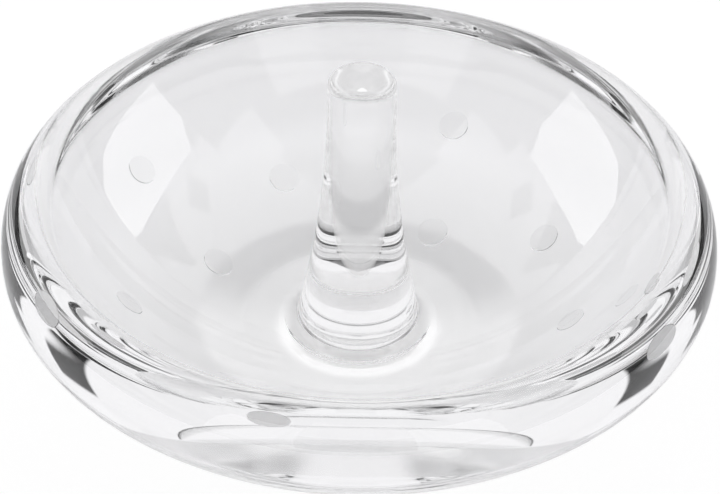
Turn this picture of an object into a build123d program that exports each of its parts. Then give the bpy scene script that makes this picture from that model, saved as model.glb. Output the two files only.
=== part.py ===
# Ring dish: a thick clear crystal dish with a tapered post in its centre.
#
# The dish and the post are two separate pieces of crystal, bonded face to face by a thin clear layer.
# Units are millimetres. +Z is up, and the origin is the centre of the flat base, where the dish rests.
# Every outline is drawn in the XZ plane, with X as the radius, and turned once about the Z axis.

from build123d import *
import math
import os

# Dish, overall
dish_diameter = 102.0
dish_height = 30.0
base_diameter = 36.8
base_edge_radius = 0.8

# Dish, rolled rim: from the widest circle up and in to the crest, then a tight lip over the crest
rim_roll_width = 5.8
rim_roll_rise = 8.1
lip_radius = 2.15
lip_turn_degrees = 61.0

# Dish, outside wall: a rolled stretch under the widest circle, then one long arc to the base
under_roll_width = 21.7
under_roll_drop = 10.1
under_roll_degrees = 33.0

# Dish, floor and the ground flat that the post is bonded to
floor_thickness = 4.1
seat_margin = 0.8

# Bond between the post's foot and the floor
bond_thickness = 0.15
bond_inset = 0.1

# Post: a short upright edge and a gently sloping top on the foot, then one long arc to the post's own top
post_length = 42.9
post_top_diameter = 9.5
post_top_edge_radius = 1.4
foot_diameter = 22.1
foot_edge_height = 0.6
foot_top_width = 2.0
foot_top_slope_degrees = 18.0
foot_corner_radius = 0.7
shaft_lean_degrees = 77.5

# Etched dots, each a shallow round patch in the outside wall
dot_diameter = 5.2
etch_depth = 0.06
cut_overrun = 1.0

# Places of the dots: how far up the long outside arc each one lies, and its bearing
dot_height_shares = (0.17, 0.75, 0.44, 0.81, 0.22, 0.65, 0.23, 0.94, 0.56, 0.48)
dot_bearings_degrees = (59.0, 67.0, 114.0, 150.0, 156.0, 196.0, 247.0, 341.0, 343.0, 23.0)

# Worked out from the sizes above
dish_radius = dish_diameter / 2
base_radius = base_diameter / 2
crest_radius = dish_radius - rim_roll_width
bulge_height = dish_height - rim_roll_rise
foot_radius = foot_diameter / 2
bond_radius = foot_radius - bond_inset
seat_radius = foot_radius + seat_margin
post_seat_height = floor_thickness + bond_thickness


def turned(*edges):
    """One solid: the closed outline of the edges, turned about the Z axis."""
    return revolve(make_face(Curve() + list(edges)), axis=Axis.Z)


def upright(edge):
    """An edge drawn with X as the radius and Y as the height, stood up in the XZ plane."""
    return Plane.XZ * edge


def under_roll_arc():
    """The rolled stretch under the widest circle, from its lower end up to that circle."""
    return EllipticalCenterArc(
        (dish_radius - under_roll_width, bulge_height),
        under_roll_width,
        under_roll_drop,
        start_angle=-under_roll_degrees,
        arc_size=under_roll_degrees,
    )


def outside_arc():
    """The long gentle arc of the outside wall, from the rolled stretch down to the base."""
    roll = under_roll_arc()
    return TangentArc(roll @ 0, (base_radius, 0), tangent=-(roll % 0))


def bowl():
    """The crystal dish, with its rolled rim, round hollow and flat base."""
    base = Line((0, 0), (base_radius, 0))
    outside = outside_arc()
    under_roll = under_roll_arc()
    rim_roll = EllipticalCenterArc(
        (crest_radius, bulge_height),
        rim_roll_width,
        rim_roll_rise,
        start_angle=0,
        arc_size=90,
    )
    lip = JernArc(rim_roll @ 1, (-1, 0), lip_radius, lip_turn_degrees)
    hollow = TangentArc(lip @ 1, (seat_radius, floor_thickness), tangent=lip % 1)
    seat = Line((seat_radius, floor_thickness), (0, floor_thickness))
    middle = Line((0, floor_thickness), (0, 0))
    outline = (base, outside, under_roll, rim_roll, lip, hollow, seat, middle)
    solid = turned(*[upright(edge) for edge in outline])
    base_edge = solid.edges().filter_by(GeomType.CIRCLE).group_by(Axis.Z)[0]
    solid = fillet(base_edge, base_edge_radius)
    for cutter in dot_cutters():
        solid -= cutter
    return solid


def dot_cutters():
    """One round cutter for each etched dot, square to the outside wall at the dot's middle."""
    wall = outside_arc()
    dot_radius = dot_diameter / 2
    cutters = []
    for height_share, bearing in zip(dot_height_shares, dot_bearings_degrees):
        place = wall @ (1 - height_share)
        slope = wall % (1 - height_share)
        outward = Vector(-slope.Y, 0, slope.X)
        crown = dot_radius ** 2 * outward.X / (2 * place.X)
        depth = etch_depth + crown
        floor_plane = Plane(
            origin=Vector(place.X, 0, place.Y) - outward * depth,
            z_dir=outward,
        )
        cutter = floor_plane * extrude(Circle(dot_radius), depth + cut_overrun)
        cutters.append(Rot(0, 0, bearing) * cutter)
    return cutters


def bond_layer():
    """The thin clear disc that holds the post to the floor of the dish."""
    disc = extrude(Circle(bond_radius), bond_thickness)
    return Pos(0, 0, floor_thickness) * disc


def ring_post():
    """The tapered crystal post, with a rounded top and a low stepped foot that widens to the floor."""
    foot_top_rise = foot_top_width * math.tan(math.radians(foot_top_slope_degrees))
    foot_corner = (foot_radius - foot_top_width, foot_edge_height + foot_top_rise)
    lean = math.radians(shaft_lean_degrees)
    shaft_direction = (-math.cos(lean), math.sin(lean))
    foot = Line((0, 0), (foot_radius, 0))
    foot_edge = Line((foot_radius, 0), (foot_radius, foot_edge_height))
    foot_top = Line((foot_radius, foot_edge_height), foot_corner)
    shaft = TangentArc(foot_corner, (post_top_diameter / 2, post_length), tangent=shaft_direction)
    top = Line((post_top_diameter / 2, post_length), (0, post_length))
    middle = Line((0, post_length), (0, 0))
    outline = (foot, foot_edge, foot_top, shaft, top, middle)
    solid = turned(*[upright(edge) for edge in outline])
    foot_corner_edge = solid.edges().filter_by(GeomType.CIRCLE).group_by(Axis.Z)[2]
    solid = fillet(foot_corner_edge, foot_corner_radius)
    top_edge = solid.edges().filter_by(GeomType.CIRCLE).group_by(Axis.Z)[-1]
    solid = fillet(top_edge, post_top_edge_radius)
    return Pos(0, 0, post_seat_height) * solid


pieces = {
    "bowl": bowl,
    "bond_layer": bond_layer,
    "ring_post": ring_post,
}

os.makedirs("parts", exist_ok=True)
for name, make in pieces.items():
    export_step(make(), f"parts/{name}.step")
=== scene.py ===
import bpy
import math
from mathutils import Matrix, Vector

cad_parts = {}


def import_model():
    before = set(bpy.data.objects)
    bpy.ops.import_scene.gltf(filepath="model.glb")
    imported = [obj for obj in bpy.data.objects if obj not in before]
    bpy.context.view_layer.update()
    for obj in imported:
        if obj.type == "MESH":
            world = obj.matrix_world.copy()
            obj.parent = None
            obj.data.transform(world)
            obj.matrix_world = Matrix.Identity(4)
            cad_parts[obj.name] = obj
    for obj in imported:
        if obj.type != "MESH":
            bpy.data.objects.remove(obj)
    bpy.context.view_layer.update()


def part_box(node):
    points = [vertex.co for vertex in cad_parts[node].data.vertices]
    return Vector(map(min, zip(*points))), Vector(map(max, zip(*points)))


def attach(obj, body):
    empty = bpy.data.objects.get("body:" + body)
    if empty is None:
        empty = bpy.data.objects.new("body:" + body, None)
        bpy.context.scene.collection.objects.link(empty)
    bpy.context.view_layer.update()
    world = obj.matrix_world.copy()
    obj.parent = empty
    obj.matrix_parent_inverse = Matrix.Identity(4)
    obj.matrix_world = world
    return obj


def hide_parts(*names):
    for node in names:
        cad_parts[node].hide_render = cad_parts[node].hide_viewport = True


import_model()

# Units: the frame is in metres, and sizes are written as millimetres times MM
MM = 0.001

# The middle of the dish, at the centre of its flat base
base_centre = (0.0, 0.0, 0.0)

# Sizes that the frame gives
bowl_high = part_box("bowl")[1]
post_low, post_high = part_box("ring_post")
bond_low, bond_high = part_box("bond_layer")
dish_radius = bowl_high.x
dish_height = bowl_high.z
foot_radius = post_high.x
floor_height = bond_low.z
bond_radius = bond_high.x

# Bowl, its own sizes
base_radius = 18.4 * MM
base_edge_radius = 0.8 * MM
rim_roll_width = 5.8 * MM
rim_roll_rise = 8.1 * MM
lip_radius = 2.15 * MM
lip_turn = math.radians(61.0)
under_roll_width = 21.7 * MM
under_roll_drop = 10.1 * MM
under_roll_turn = math.radians(33.0)
seat_margin = 0.8 * MM
seat_radius = foot_radius + seat_margin

# Bond, parted from the crystal by a hair so that no two faces share a plane
bond_parting = 0.004 * MM

# Post, its own sizes
post_top_radius = 4.75 * MM
post_top_edge_radius = 1.4 * MM
foot_edge_height = 0.6 * MM
foot_top_width = 2.0 * MM
foot_top_slope = math.radians(18.0)
foot_corner_radius = 0.7 * MM
shaft_lean = math.radians(77.5)

# Etched dots in the bowl's outside wall
dot_radius = 2.6 * MM
dot_height_shares = (0.17, 0.75, 0.44, 0.81, 0.22, 0.65, 0.23, 0.94, 0.56, 0.48)
dot_bearings_degrees = (59.0, 67.0, 114.0, 150.0, 156.0, 196.0, 247.0, 341.0, 343.0, 23.0)

# Fineness of the turned meshes: straight steps along each stretch of an outline, and round the axis
base_steps = 6
base_edge_steps = 4
outside_steps = 100
under_roll_steps = 26
rim_roll_steps = 30
lip_steps = 14
hollow_steps = 56
seat_steps = 1
bonded_steps = 4
bond_edge_steps = 2
foot_steps = 6
foot_edge_steps = 2
foot_top_steps = 3
foot_corner_steps = 10
shaft_steps = 40
post_edge_steps = 14
post_top_steps = 4
round_segments = 320
crease_angle = math.radians(8.0)
weld_distance = 0.001 * MM

# Photograph's frame in pixels, and the place and scale of the dish in it
photo_width_px = 720
photo_focal_px = 1799
view_elevation = math.radians(40.48)
view_distance = 265.2 * MM
view_aim_height = 13.15 * MM
view_roll = math.radians(1.1)
principal_x_px = 358.8
principal_y_px = 268.7
photo_centre_x_px = 360
photo_centre_y_px = 247


# Outlines, each a list of (radius, height) points

def arc_points(centre, radii, start, turn, steps):
    """Points on an elliptical arc, from the angle start through the angle turn, both ends included."""
    points = []
    for step in range(steps + 1):
        angle = start + turn * step / steps
        points.append((centre[0] + radii[0] * math.cos(angle), centre[1] + radii[1] * math.sin(angle)))
    return points


def tangent_circle(start, direction, end):
    """Centre and radius of the circle that leaves start along direction and passes through end."""
    length = math.hypot(*direction)
    normal = (-direction[1] / length, direction[0] / length)
    chord = (end[0] - start[0], end[1] - start[1])
    radius = (chord[0] ** 2 + chord[1] ** 2) / (2 * (chord[0] * normal[0] + chord[1] * normal[1]))
    return (start[0] + radius * normal[0], start[1] + radius * normal[1]), abs(radius)


def arc_points_between(centre, radius, start, end, steps):
    """Points on the circular arc about centre, the short way from start to end."""
    first = math.atan2(start[1] - centre[1], start[0] - centre[0])
    last = math.atan2(end[1] - centre[1], end[0] - centre[0])
    turn = math.remainder(last - first, math.tau)
    return arc_points(centre, (radius, radius), first, turn, steps)


def tangent_arc_points(start, direction, end, steps):
    """Points on the circular arc that leaves start along direction and reaches end."""
    centre, radius = tangent_circle(start, direction, end)
    return arc_points_between(centre, radius, start, end, steps)


def line_points(start, end, steps):
    """Points on a straight line, both ends included."""
    return [
        (start[0] + (end[0] - start[0]) * step / steps, start[1] + (end[1] - start[1]) * step / steps)
        for step in range(steps + 1)
    ]


def chained(*stretches):
    """The stretches end to end, with each shared end point kept once."""
    points = list(stretches[0])
    for stretch in stretches[1:]:
        points.extend(stretch[1:])
    return points


def bowl_stretches():
    """The bowl's outline in stretches, from the middle of the base to the lower end of the hollow."""
    bulge_height = dish_height - rim_roll_rise
    crest_radius = dish_radius - rim_roll_width
    under_roll = arc_points(
        (dish_radius - under_roll_width, bulge_height),
        (under_roll_width, under_roll_drop),
        -under_roll_turn,
        under_roll_turn,
        under_roll_steps,
    )
    wall_direction = (
        -under_roll_width * math.sin(under_roll_turn),
        -under_roll_drop * math.cos(under_roll_turn),
    )
    outside = tangent_arc_points(under_roll[0], wall_direction, (base_radius, 0.0), outside_steps)
    outside.reverse()
    wall_lean = math.atan2(outside[1][1], outside[1][0] - base_radius)
    flat_reach = base_radius - base_edge_radius * math.tan(wall_lean / 2)
    base_edge = arc_points(
        (flat_reach, base_edge_radius),
        (base_edge_radius, base_edge_radius),
        -math.pi / 2,
        wall_lean,
        base_edge_steps,
    )
    outside[0] = base_edge[-1]
    rim_roll = arc_points(
        (crest_radius, bulge_height),
        (rim_roll_width, rim_roll_rise),
        0.0,
        math.pi / 2,
        rim_roll_steps,
    )
    lip = arc_points(
        (crest_radius, dish_height - lip_radius),
        (lip_radius, lip_radius),
        math.pi / 2,
        lip_turn,
        lip_steps,
    )
    lip_direction = (-math.cos(lip_turn), -math.sin(lip_turn))
    return {
        "base": line_points((0.0, 0.0), (flat_reach, 0.0), base_steps),
        "base_edge": base_edge,
        "outside": outside,
        "under_roll": under_roll,
        "rim_roll": rim_roll,
        "lip": lip,
        "hollow": tangent_arc_points(lip[-1], lip_direction, (seat_radius, floor_height), hollow_steps),
    }


def bowl_outline():
    """The bowl's whole outline, and its stretch that is bonded: the middle of the floor's ground flat."""
    seat = line_points((seat_radius, floor_height), (bond_radius, floor_height), seat_steps)
    bonded = line_points((bond_radius, floor_height), (0.0, floor_height), bonded_steps)
    return chained(*bowl_stretches().values(), seat, bonded), bonded


def foot_corner(rim, shaft_centre, shaft_radius):
    """The small arc between the foot's sloping top and the shaft: its centre, lower end and upper end."""
    slope_cos = math.cos(foot_top_slope)
    slope_sin = math.sin(foot_top_slope)
    start_x = rim[0] + foot_corner_radius * slope_sin - shaft_centre[0]
    start_y = rim[1] + foot_corner_radius * slope_cos - shaft_centre[1]
    inner_radius = shaft_radius - foot_corner_radius
    along = start_y * slope_sin - start_x * slope_cos
    run = math.sqrt(along ** 2 + inner_radius ** 2 - start_x ** 2 - start_y ** 2) - along
    centre_x = start_x - run * slope_cos
    centre_y = start_y + run * slope_sin
    centre = (shaft_centre[0] + centre_x, shaft_centre[1] + centre_y)
    low_end = (centre[0] - foot_corner_radius * slope_sin, centre[1] - foot_corner_radius * slope_cos)
    spread = shaft_radius / inner_radius
    high_end = (shaft_centre[0] + centre_x * spread, shaft_centre[1] + centre_y * spread)
    return centre, low_end, high_end


def post_outline():
    """The post's whole outline, and its stretch that is bonded: the flat under the foot."""
    foot = post_low.z
    rim = (foot_radius, foot + foot_edge_height)
    foot_top_rise = foot_top_width * math.tan(foot_top_slope)
    corner = (foot_radius - foot_top_width, rim[1] + foot_top_rise)
    shaft_direction = (-math.cos(shaft_lean), math.sin(shaft_lean))
    post_top = (post_top_radius, post_high.z)
    shaft_centre, shaft_radius = tangent_circle(corner, shaft_direction, post_top)
    corner_centre, corner_low, corner_high = foot_corner(rim, shaft_centre, shaft_radius)
    edge_height = post_high.z - post_top_edge_radius
    edge_rise = edge_height - shaft_centre[1]
    edge_reach = math.sqrt((shaft_radius + post_top_edge_radius) ** 2 - edge_rise ** 2)
    edge_start = math.atan2(-edge_rise, edge_reach)
    edge = arc_points(
        (shaft_centre[0] - edge_reach, edge_height),
        (post_top_edge_radius, post_top_edge_radius),
        edge_start,
        math.pi / 2 - edge_start,
        post_edge_steps,
    )
    bonded = line_points((0.0, foot), (foot_radius, foot), foot_steps)
    outline = chained(
        bonded,
        line_points((foot_radius, foot), rim, foot_edge_steps),
        line_points(rim, corner_low, foot_top_steps),
        arc_points_between(corner_centre, foot_corner_radius, corner_low, corner_high, foot_corner_steps),
        arc_points_between(shaft_centre, shaft_radius, corner_high, edge[0], shaft_steps),
        edge,
        line_points(edge[-1], (0.0, post_high.z), post_top_steps),
    )
    return outline, bonded


def bond_outline():
    """The bond's whole outline, and its two stretches that are bonded: its under side and its top."""
    under = bond_low.z + bond_parting
    over = bond_high.z - bond_parting
    low = line_points((0.0, under), (bond_radius, under), bonded_steps)
    edge = line_points((bond_radius, under), (bond_radius, over), bond_edge_steps)
    high = line_points((bond_radius, over), (0.0, over), bonded_steps)
    return chained(low, edge, high), low, high


# Nodes, for meshes and materials alike

def feed(tree, socket, value):
    """Gives a socket its value: a number or a colour as it is, or a link from another node's output."""
    if isinstance(value, bpy.types.NodeSocket):
        tree.links.new(value, socket)
    else:
        socket.default_value = value


def added(tree, kind, inputs):
    """A new node of the kind, with the inputs fed by name."""
    node = tree.nodes.new(kind)
    for name, value in inputs.items():
        feed(tree, node.inputs[name], value)
    return node


def math_node(tree, operation, *values):
    """The output of a math node, with the values fed in order."""
    node = tree.nodes.new("ShaderNodeMath")
    node.operation = operation
    for socket, value in zip(node.inputs, values):
        feed(tree, socket, value)
    return node.outputs[0]


# Turned meshes

def turning_tree():
    """Geometry nodes that turn an outline, given as the points of a mesh, about the Z axis."""
    tree = bpy.data.node_groups.new("turned crystal", "GeometryNodeTree")
    socket_types = {
        "Outline": "NodeSocketGeometry",
        "Segments": "NodeSocketInt",
        "Crease angle": "NodeSocketFloat",
        "Weld distance": "NodeSocketFloat",
        "Crystal": "NodeSocketMaterial",
    }
    sockets = {}
    for name, socket_type in socket_types.items():
        socket = tree.interface.new_socket(name, in_out="INPUT", socket_type=socket_type)
        sockets[name] = socket.identifier
    tree.interface.new_socket("Geometry", in_out="OUTPUT", socket_type="NodeSocketGeometry")
    given = tree.nodes.new("NodeGroupInput").outputs

    # A grid with one column for each place round the axis, and one row for each point of the outline
    size = added(tree, "GeometryNodeAttributeDomainSize", {"Geometry": given["Outline"]})
    count = size.outputs["Point Count"]
    columns = math_node(tree, "ADD", given["Segments"], 1.0)
    grid = added(tree, "GeometryNodeMeshGrid", {"Vertices X": columns, "Vertices Y": count})
    index = tree.nodes.new("GeometryNodeInputIndex").outputs[0]
    column = math_node(tree, "FLOOR", math_node(tree, "DIVIDE", index, count))
    row = math_node(tree, "MODULO", index, count)

    # Each point of the grid goes to its point of the outline, turned by its column's share of a whole turn
    sample = tree.nodes.new("GeometryNodeSampleIndex")
    sample.data_type = "FLOAT_VECTOR"
    feed(tree, sample.inputs["Geometry"], given["Outline"])
    feed(tree, sample.inputs["Value"], tree.nodes.new("GeometryNodeInputPosition").outputs[0])
    feed(tree, sample.inputs["Index"], row)
    angle = math_node(tree, "MULTIPLY", math_node(tree, "DIVIDE", column, given["Segments"]), math.tau)
    turned = tree.nodes.new("ShaderNodeVectorRotate")
    turned.rotation_type = "Z_AXIS"
    feed(tree, turned.inputs["Vector"], sample.outputs["Value"])
    feed(tree, turned.inputs["Angle"], angle)
    position = turned.outputs["Vector"]
    put = added(tree, "GeometryNodeSetPosition", {"Geometry": grid.outputs["Mesh"], "Position": position})
    weld = {"Geometry": put.outputs["Geometry"], "Distance": given["Weld distance"]}
    welded = added(tree, "GeometryNodeMergeByDistance", weld)

    # Smooth shading, but for the edges that are sharper than the crease angle
    edge_angle = tree.nodes.new("GeometryNodeInputMeshEdgeAngle")
    gentle = tree.nodes.new("FunctionNodeCompare")
    gentle.data_type = "FLOAT"
    gentle.operation = "LESS_EQUAL"
    feed(tree, gentle.inputs["A"], edge_angle.outputs["Unsigned Angle"])
    feed(tree, gentle.inputs["B"], given["Crease angle"])
    faces = added(tree, "GeometryNodeSetShadeSmooth", {"Geometry": welded.outputs["Geometry"]})
    faces.domain = "FACE"
    smooth = {"Geometry": faces.outputs["Geometry"], "Shade Smooth": gentle.outputs["Result"]}
    edges = added(tree, "GeometryNodeSetShadeSmooth", smooth)
    edges.domain = "EDGE"

    realized = added(tree, "GeometryNodeRealizeInstances", {"Geometry": edges.outputs["Geometry"]})
    finish = {"Geometry": realized.outputs["Geometry"], "Material": given["Crystal"]}
    finished = added(tree, "GeometryNodeSetMaterial", finish)
    added(tree, "NodeGroupOutput", {"Geometry": finished.outputs["Geometry"]})
    return tree, sockets


turning, turning_sockets = turning_tree()


def signed_volume(mesh):
    """The volume inside a closed mesh, which is negative where the faces point inward."""
    volume = 0.0
    mesh.calc_loop_triangles()
    for triangle in mesh.loop_triangles:
        a, b, c = (mesh.vertices[i].co for i in triangle.vertices)
        volume += a.dot(b.cross(c)) / 6
    return volume


def turned_mesh(name, outline, material):
    """A plain mesh: the outline turned about the Z axis, with the material on it and its faces outward."""
    points = [(radius, 0.0, height) for radius, height in outline]
    source = bpy.data.meshes.new(name + "_outline")
    source.from_pydata(points, [(i, i + 1) for i in range(len(points) - 1)], [])
    holder = bpy.data.objects.new(name + "_outline", source)
    bpy.context.scene.collection.objects.link(holder)
    modifier = holder.modifiers.new("turned", "NODES")
    modifier.node_group = turning
    modifier[turning_sockets["Segments"]] = round_segments
    modifier[turning_sockets["Crease angle"]] = crease_angle
    modifier[turning_sockets["Weld distance"]] = weld_distance
    modifier[turning_sockets["Crystal"]] = material
    depsgraph = bpy.context.evaluated_depsgraph_get()
    mesh = bpy.data.meshes.new_from_object(holder.evaluated_get(depsgraph), depsgraph=depsgraph)
    mesh.name = name
    mesh.materials.clear()
    mesh.materials.append(material)
    holder.modifiers.remove(modifier)
    bpy.data.objects.remove(holder)
    bpy.data.meshes.remove(source)
    if signed_volume(mesh) < 0:
        mesh.flip_normals()
    return mesh


def mark_bonded(mesh, bonded):
    """Gives the mesh's last material to the faces that lie on a bonded stretch of the outline."""
    bonded_slot = len(mesh.materials) - 1
    level = bonded[0][1]
    reach = max(bonded[0][0], bonded[-1][0])
    for polygon in mesh.polygons:
        centre = polygon.center
        flat = abs(centre.z - level) < weld_distance
        if flat and math.hypot(centre.x, centre.y) < reach:
            polygon.material_index = bonded_slot


def turned_piece(name, outline, bonded_stretches, crystal_material, bonded_material):
    """A piece with its outside in crystal and the faces inside the bond in the bonded material."""
    mesh = turned_mesh(name, outline, crystal_material)
    mesh.materials.append(bonded_material)
    for bonded in bonded_stretches:
        mark_bonded(mesh, bonded)
    piece = bpy.data.objects.new(name, mesh)
    bpy.context.scene.collection.objects.link(piece)
    return piece


# Materials

# Crystal, the etched dots' finish and the ground ring's
crystal_ior = 1.56
crystal_colour = (1.0, 1.0, 1.0, 1.0)
polish_roughness = 0.0
etched_roughness = 0.45
etch_depth = 0.06 * MM
dot_edge_width = 0.12 * MM
ground_ring_roughness = 0.2
ground_ring_inner_radius = 12.5 * MM
ground_ring_height = 0.02 * MM


def object_place(tree):
    """The place of the shaded point, in the coordinates of its own object."""
    return tree.nodes.new("ShaderNodeTexCoord").outputs["Object"]


def distance_from(tree, place, centre):
    """How far a place lies from a fixed centre."""
    distance = tree.nodes.new("ShaderNodeVectorMath")
    distance.operation = "DISTANCE"
    feed(tree, distance.inputs[0], place)
    feed(tree, distance.inputs[1], centre)
    return distance.outputs["Value"]


def dot_centres():
    """The middle of each etched dot, on the bowl's outside wall."""
    wall = bowl_stretches()["outside"]
    centres = []
    for height_share, degrees in zip(dot_height_shares, dot_bearings_degrees):
        radius, height = wall[round(height_share * (len(wall) - 1))]
        bearing = math.radians(degrees)
        centres.append((radius * math.cos(bearing), radius * math.sin(bearing), height))
    return centres


def dot_mask(tree, place):
    """A shader value that is 1 on the etched dots and 0 elsewhere, with a narrow soft edge."""
    nearest = dish_radius
    for centre in dot_centres():
        nearest = math_node(tree, "MINIMUM", nearest, distance_from(tree, place, centre))
    edge = {"Value": nearest, "From Min": dot_radius, "From Max": dot_radius - dot_edge_width}
    return added(tree, "ShaderNodeMapRange", edge).outputs["Result"]


def ground_ring_mask(tree, place):
    """A shader value that is 1 on the ring of the base that the dish stands on, and 0 elsewhere."""
    height = added(tree, "ShaderNodeSeparateXYZ", {"Vector": place}).outputs["Z"]
    low = math_node(tree, "LESS_THAN", height, ground_ring_height)
    reach = distance_from(tree, place, base_centre)
    outer = math_node(tree, "GREATER_THAN", reach, ground_ring_inner_radius)
    return math_node(tree, "MULTIPLY", low, outer)


def crystal(name):
    """Clear polished crystal."""
    material = bpy.data.materials.new(name)
    material.use_nodes = True
    shader = material.node_tree.nodes["Principled BSDF"]
    shader.inputs["Base Color"].default_value = crystal_colour
    shader.inputs["Transmission Weight"].default_value = 1.0
    shader.inputs["IOR"].default_value = crystal_ior
    shader.inputs["Roughness"].default_value = polish_roughness
    return material


def etched_crystal(name):
    """Crystal with etched dots, each a shallow frosted hollow, and a finely ground standing ring."""
    material = crystal(name)
    tree = material.node_tree
    shader = tree.nodes["Principled BSDF"]
    place = object_place(tree)
    dots = dot_mask(tree, place)
    frosted = math_node(tree, "MULTIPLY_ADD", dots, etched_roughness, polish_roughness)
    ring = ground_ring_mask(tree, place)
    rough = math_node(tree, "MULTIPLY_ADD", ring, ground_ring_roughness, frosted)
    feed(tree, shader.inputs["Roughness"], rough)
    hollowed = added(tree, "ShaderNodeBump", {"Distance": etch_depth, "Height": dots})
    hollowed.invert = True
    feed(tree, shader.inputs["Normal"], hollowed.outputs["Normal"])
    return material


def shader_material(name):
    """A material with an empty tree, that tree, and the surface socket of its output."""
    material = bpy.data.materials.new(name)
    material.use_nodes = True
    tree = material.node_tree
    tree.nodes.clear()
    output = tree.nodes.new("ShaderNodeOutputMaterial")
    return material, tree, output.inputs["Surface"]


def joined_face(name):
    """A face inside the bond, where light passes from crystal to crystal unbent."""
    material, tree, surface = shader_material(name)
    feed(tree, surface, tree.nodes.new("ShaderNodeBsdfTransparent").outputs[0])
    return material


dish_crystal = etched_crystal("dish_crystal")
post_crystal = crystal("post_crystal")
clear_bond = crystal("clear_bond")
joined = joined_face("joined_face")


# The three pieces

def dressed(piece, node):
    """Attaches a finished piece to the dish's root body, so it rides with the dish, and hides the CAD node
    it stands for.
    """
    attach(piece, "root")
    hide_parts(node)


bowl_line, bowl_bonded = bowl_outline()
bowl = turned_piece("bowl_crystal", bowl_line, [bowl_bonded], dish_crystal, joined)
dressed(bowl, "bowl")

post_line, post_bonded = post_outline()
post = turned_piece("ring_post_crystal", post_line, [post_bonded], post_crystal, joined)
dressed(post, "ring_post")

bond_line, bond_under, bond_top = bond_outline()
bond = turned_piece("bond_disc", bond_line, [bond_under, bond_top], clear_bond, joined)
dressed(bond, "bond_layer")


# Camera: the width of its sensor, in millimetres, and the nearest place that it sees
sensor_width = 36.0
nearest_seen = 10 * MM


def camera():
    """The camera at the photograph's place, looking at the dish with the photograph's slight roll."""
    back = Vector((0.0, -math.cos(view_elevation), math.sin(view_elevation)))
    aim = Vector((0.0, 0.0, view_aim_height))
    data = bpy.data.cameras.new("photo_view")
    data.sensor_fit = "HORIZONTAL"
    data.sensor_width = sensor_width
    data.lens = sensor_width * photo_focal_px / photo_width_px
    data.shift_x = (photo_centre_x_px - principal_x_px) / photo_width_px
    data.shift_y = (principal_y_px - photo_centre_y_px) / photo_width_px
    data.clip_start = nearest_seen
    view = bpy.data.objects.new("photo_view", data)
    turn = back.to_track_quat("Z", "Y").to_matrix().to_4x4()
    roll = Matrix.Rotation(view_roll, 4, "Z")
    view.matrix_world = Matrix.Translation(aim + back * view_distance) @ turn @ roll
    bpy.context.scene.collection.objects.link(view)
    bpy.context.scene.camera = view


camera()

# Floor: its size, and how matte and how bright the camera and the crystal see it
floor_half_width = 3000 * MM
floor_gap = 0.03 * MM
seen_floor_white = 0.10
seen_floor_glow = 0.94
floor_white = 0.85
open_floor_glow = 0.26
studio_tint = (0.988, 0.986, 1.0)

# Painted caustic light and painted shadow on the floor, in glowing rings that stand in for the light the
# dish gathers there and the shade it casts, from the outer ring in.
# Each ring: its radius, its soft edge, and its glow behind the dish's middle and in front of it.
painted_floor_rings = {
    "under the wall": (50.0 * MM, 16.0 * MM, 0.38, 0.38),
    "close round the base": (26.5 * MM, 1.2 * MM, 0.26, 0.50),
    "under the edge of the base": (18.5 * MM, 1.5 * MM, 0.46, 0.54),
    "inside the edge of the base": (13.0 * MM, 1.0 * MM, 0.48, 0.72),
    "under the edge of the foot": (10.0 * MM, 0.8 * MM, 0.34, 0.48),
    "under the post": (7.0 * MM, 1.0 * MM, 0.52, 0.44),
}
front_bearing_degrees = 82.0
front_fade_degrees = 20.0

# Bright parts of a studio that is dark elsewhere, alike on its left and right.
# Each part: its lowest and highest bearing, its lowest and highest elevation, and its brightness.
# Bearings and elevations are in degrees, and a bearing starts straight behind the dish.
studio_zones = {
    "low backdrop": (-10.0, 38.0, -10.0, 18.0, 0.50),
    "backdrop": (-10.0, 42.0, 18.0, 60.0, 0.92),
    "side of the backdrop": (42.0, 66.0, 30.0, 60.0, 0.92),
    "low side": (66.0, 90.0, 18.0, 36.5, 0.95),
    "middle of the side": (79.0, 96.0, 36.5, 43.0, 0.95),
    "high side": (66.0, 124.0, 43.0, 60.0, 0.95),
    "ceiling": (-10.0, 118.0, 60.0, 100.0, 0.92),
    "side of the front": (138.0, 163.0, 6.0, 45.0, 0.90),
    "front": (163.0, 190.0, 28.0, 60.0, 0.45),
    "low edge of the front": (138.0, 190.0, -10.0, 6.0, 0.60),
}
studio_dark = 0.02
zone_edge_degrees = 1.5

# Side softboxes: their distance, and how far each corner lies behind and above the dish, as shares of it
softbox_distance = 700 * MM
softbox_glow = 2.3
softbox_corner_shares = (
    (-0.05, 0.36),
    (-0.07, 0.62),
    (0.06, 0.78),
    (0.50, 0.645),
    (0.97, 0.46),
    (1.33, 0.22),
    (0.57, 0.23),
)


def soft_step(tree, value, start, end):
    """0 where value is at start and 1 where it is at end, with a smooth run between them."""
    step = added(tree, "ShaderNodeMapRange", {"Value": value, "From Min": start, "From Max": end})
    step.interpolation_type = "SMOOTHSTEP"
    return step.outputs["Result"]


def within(tree, value, low, high, edge):
    """1 where value lies between low and high, and 0 outside, with soft edges."""
    over = soft_step(tree, value, low - edge / 2, low + edge / 2)
    under = soft_step(tree, value, high + edge / 2, high - edge / 2)
    return math_node(tree, "MULTIPLY", over, under)


def bearing_of(tree, place):
    """How many degrees a place lies from straight behind the dish, to its left or right."""
    parts = added(tree, "ShaderNodeSeparateXYZ", {"Vector": place}).outputs
    across = math_node(tree, "ABSOLUTE", parts["X"])
    return math_node(tree, "DEGREES", math_node(tree, "ARCTAN2", across, parts["Y"]))


def elevation_of(tree, direction):
    """How many degrees a direction rises."""
    height = added(tree, "ShaderNodeSeparateXYZ", {"Vector": direction}).outputs["Z"]
    return math_node(tree, "DEGREES", math_node(tree, "ARCSINE", height))


def seen_by_camera(tree):
    """A shader value that is 1 on rays that come straight from the camera."""
    return tree.nodes.new("ShaderNodeLightPath").outputs["Is Camera Ray"]


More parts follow.
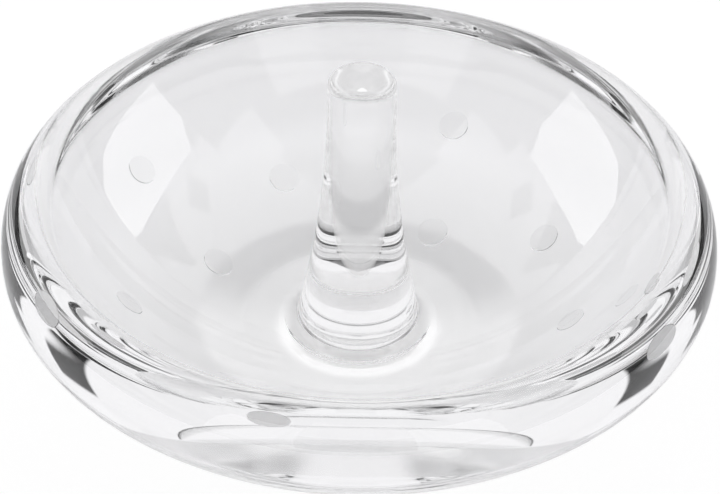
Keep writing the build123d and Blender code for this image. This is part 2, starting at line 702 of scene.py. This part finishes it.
def glow(tree, strength):
    """A shader that gives light of the given strength."""
    return added(tree, "ShaderNodeEmission", {"Strength": strength}).outputs[0]


def lit_white(tree, white, strength):
    """A matte white shader with a glow added to it."""
    colour = (*(share * white for share in studio_tint), 1.0)
    matte = added(tree, "ShaderNodeBsdfDiffuse", {"Color": colour}).outputs[0]
    both = tree.nodes.new("ShaderNodeAddShader")
    feed(tree, both.inputs[0], matte)
    feed(tree, both.inputs[1], glow(tree, strength))
    return both.outputs[0]


def stage_piece(name, corners, material):
    """A flat piece of the studio, which isn't part of the dish."""
    mesh = bpy.data.meshes.new(name)
    mesh.from_pydata(corners, [], [tuple(range(len(corners)))])
    mesh.materials.append(material)
    piece = bpy.data.objects.new(name, mesh)
    bpy.context.scene.collection.objects.link(piece)
    return piece


def painted_caustics_and_shadow(tree, place):
    """The floor's painted glow at a place: painted caustic light and painted shadow, which step from ring
    to ring towards the middle of the dish.
    """
    fade_start = front_bearing_degrees - front_fade_degrees
    fade_end = front_bearing_degrees + front_fade_degrees
    in_front = soft_step(tree, bearing_of(tree, place), fade_start, fade_end)
    reach = distance_from(tree, place, base_centre)
    lit = open_floor_glow
    outer_behind = open_floor_glow
    outer_front = open_floor_glow
    for radius, soft_edge, behind, front in painted_floor_rings.values():
        inside = soft_step(tree, reach, radius + soft_edge, radius - soft_edge)
        behind_rise = behind - outer_behind
        front_rise = front - outer_front
        rise = math_node(tree, "MULTIPLY_ADD", in_front, front_rise - behind_rise, behind_rise)
        lit = math_node(tree, "MULTIPLY_ADD", inside, rise, lit)
        outer_behind = behind
        outer_front = front
    return lit


def floor():
    """A white floor, which the camera sees with a faint shadow and the crystal with painted caustic light
    and painted shadow in rings.
    """
    material, tree, surface = shader_material("studio_floor")
    whole = added(tree, "ShaderNodeMixShader", {"Fac": seen_by_camera(tree)})
    # The crystal sees the floor with painted caustic light and painted shadow added as glow in rings round
    # the dish.
    feed(tree, whole.inputs[1], lit_white(tree, floor_white, painted_caustics_and_shadow(tree, object_place(tree))))
    feed(tree, whole.inputs[2], lit_white(tree, seen_floor_white, seen_floor_glow))
    feed(tree, surface, whole.outputs[0])
    half = floor_half_width
    level = -floor_gap
    corners = [(-half, -half, level), (half, -half, level), (half, half, level), (-half, half, level)]
    stage_piece("studio_floor", corners, material)


floor()


def softboxes():
    """Two tall softboxes, left and right of the dish, that show in reflections alone."""
    material, tree, surface = shader_material("softbox")
    feed(tree, surface, glow(tree, softbox_glow))
    reach = softbox_distance
    for name, side in (("softbox_left", -1), ("softbox_right", 1)):
        corners = [(side * reach, behind * reach, above * reach) for behind, above in softbox_corner_shares]
        piece = stage_piece(name, corners, material)
        piece.visible_camera = False
        piece.visible_transmission = False


softboxes()


def world():
    """The studio round the dish: white for the camera, and bright and dark by direction for the crystal."""
    studio = bpy.data.worlds.new("studio")
    bpy.context.scene.world = studio
    studio.use_nodes = True
    tree = studio.node_tree
    direction = tree.nodes.new("ShaderNodeTexCoord").outputs["Generated"]
    bearing = bearing_of(tree, direction)
    elevation = elevation_of(tree, direction)
    total = studio_dark
    for low_bearing, high_bearing, low, high, brightness in studio_zones.values():
        around = within(tree, bearing, low_bearing, high_bearing, zone_edge_degrees)
        upward = within(tree, elevation, low, high, zone_edge_degrees)
        inside = math_node(tree, "MULTIPLY", around, upward)
        total = math_node(tree, "MULTIPLY_ADD", inside, brightness, total)
    background = tree.nodes["Background"]
    background.inputs["Color"].default_value = (*studio_tint, 1.0)
    whole = math_node(tree, "MAXIMUM", total, seen_by_camera(tree))
    feed(tree, background.inputs["Strength"], whole)


world()

# Look: plain colours, and enough bounces for light to find its way out of thick crystal
scene = bpy.context.scene
scene.view_settings.view_transform = "Standard"
scene.cycles.max_bounces = 32
scene.cycles.transmission_bounces = 32
scene.cycles.glossy_bounces = 16
scene.cycles.transparent_max_bounces = 64
